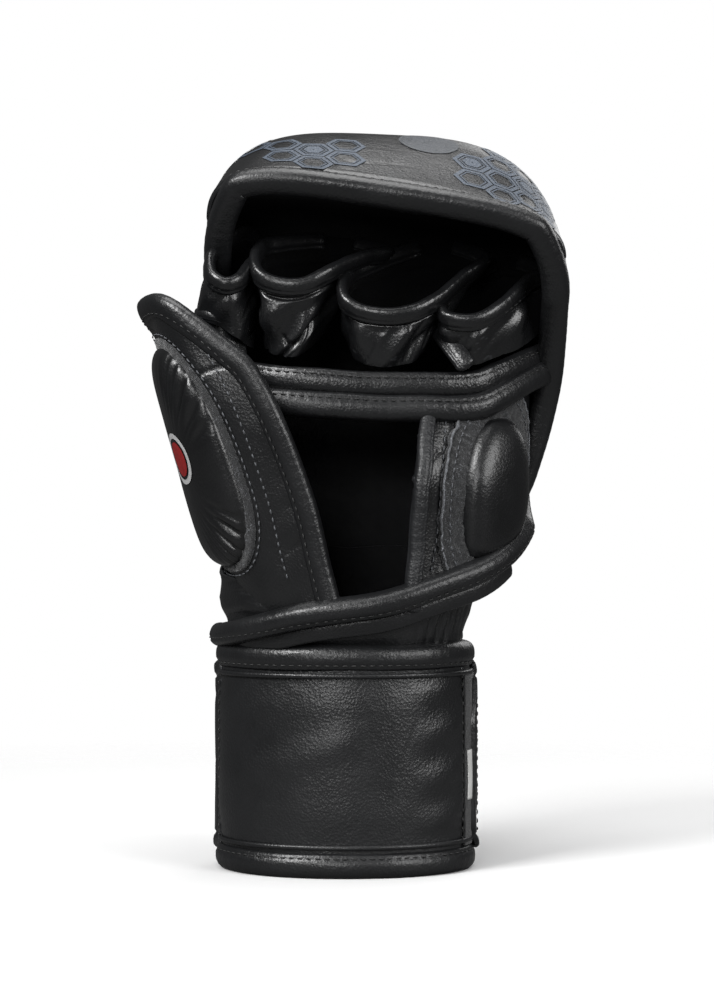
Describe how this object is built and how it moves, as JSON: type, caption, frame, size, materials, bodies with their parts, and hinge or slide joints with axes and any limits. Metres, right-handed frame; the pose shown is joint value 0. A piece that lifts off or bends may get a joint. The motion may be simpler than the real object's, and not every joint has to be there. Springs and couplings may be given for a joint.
{
  "type": "mma sparring glove",
  "caption": "Padded open-palm combat glove with a domed knuckle pad, finger loops, a palm grip bar, a separate thumb and a wrist cuff closed by a hook-and-loop strap.",
  "frame": {"origin": "centre of the cuff's opening, in the plane of its bottom edge", "axes": "+Z from the wrist to the fingertips, -Y the palm side, +Y the back of the hand, -X the thumb side, +X the little-finger side"},
  "size_m": [0.148, 0.1286, 0.256],
  "materials": {
    "leather": "semi-gloss, fine grain, creased",
    "edge_tape": "semi-gloss bound edge with stitches",
    "lining": "matt woven",
    "foam": "closed-cell foam",
    "hook": "moulded hooks",
    "loop_pile": "brushed pile",
    "label": "satin moulded patch with a pale border",
    "tag": "white woven tag"
  },
  "bodies": {
    "cuff": {"cuff_palm_panel": "leather", "cuff_back_panel": "leather", "cuff_foam": "foam", "cuff_lining": "lining", "cuff_bottom_binding": "edge_tape", "cuff_top_binding": "edge_tape", "loop_tape": "loop_pile", "size_tag": "tag"},
    "strap_root": {"strap_root_panel": "leather"},
    "strap_middle": {"strap_middle_panel": "leather"},
    "strap_tip": {"strap_tip_panel": "leather", "strap_tip_binding": "edge_tape", "hook_tape": "hook", "wrist_label": "label"},
    "hand": {"knuckle_pad_cover": "leather", "knuckle_pad_foam": "foam", "hand_lining": "lining", "pad_edge_binding": "edge_tape", "palm_lower_binding": "edge_tape", "gauntlet": "leather", "grip_bar_core": "foam", "grip_bar_cover": "leather", "grip_bar_binding": "edge_tape", "heel_panel": "leather", "heel_pad_foam": "foam", "heel_pad_cover": "leather", "index_side_wall": "leather", "thumb_gusset": "leather"},
    "thumb": {"thumb_shell": "leather", "thumb_lining": "lining", "thumb_pad_foam": "foam", "thumb_pad_cover": "leather", "thumb_edge_binding": "edge_tape", "thumb_strap": "leather"},
    "index_finger": {"index_loop": "leather", "index_loop_hem": "edge_tape"},
    "middle_finger": {"middle_loop": "leather", "middle_loop_hem": "edge_tape"},
    "ring_finger": {"ring_loop": "leather", "ring_loop_hem": "edge_tape"},
    "little_finger": {"little_loop": "leather", "little_loop_hem": "edge_tape"}
  },
  "joints": [
    {"name": "wrist_flex", "type": "hinge", "parent": "cuff", "child": "hand", "pos_m": [0, 0, 0.08], "axis": [1, 0, 0], "range_deg": [-18, 15]},
    {"name": "thumb_swing", "type": "hinge", "parent": "hand", "child": "thumb", "pos_m": [-0.046, 0.017, 0.1], "axis": [-0.2057, -0.1452, 0.9678], "range_deg": [-22, 7]},
    {"name": "index_curl", "type": "hinge", "parent": "hand", "child": "index_finger", "pos_m": [-0.0244, -0.0153, 0.1778], "axis": [1, 0, 0], "range_deg": [0, 22]},
    {"name": "middle_curl", "type": "hinge", "parent": "hand", "child": "middle_finger", "pos_m": [0.0012, -0.0153, 0.1778], "axis": [1, 0, 0], "range_deg": [0, 22]},
    {"name": "ring_curl", "type": "hinge", "parent": "hand", "child": "ring_finger", "pos_m": [0.0268, -0.0153, 0.1778], "axis": [1, 0, 0], "range_deg": [0, 22]},
    {"name": "little_curl", "type": "hinge", "parent": "hand", "child": "little_finger", "pos_m": [0.0524, -0.0153, 0.1778], "axis": [1, 0, 0], "range_deg": [0, 22]},
    {"name": "strap_open", "type": "hinge", "parent": "cuff", "child": "strap_root", "pos_m": [-0.04695, 0.00164, 0.039], "axis": [0, 0, 1], "range_deg": [0, 50]},
    {"name": "strap_middle_fold", "type": "hinge", "parent": "strap_root", "child": "strap_middle", "pos_m": [-0.02247, 0.03162, 0.039], "axis": [0, 0, 1], "range_deg": [0, 40]},
    {"name": "strap_tip_peel", "type": "hinge", "parent": "strap_middle", "child": "strap_tip", "pos_m": [0.02196, 0.03183, 0.039], "axis": [0, 0, 1], "range_deg": [0, 70]}
  ],
  "couplings": [
    {"joint": "strap_middle_fold", "follows": "strap_open", "ratio": 0.8}
  ]
}
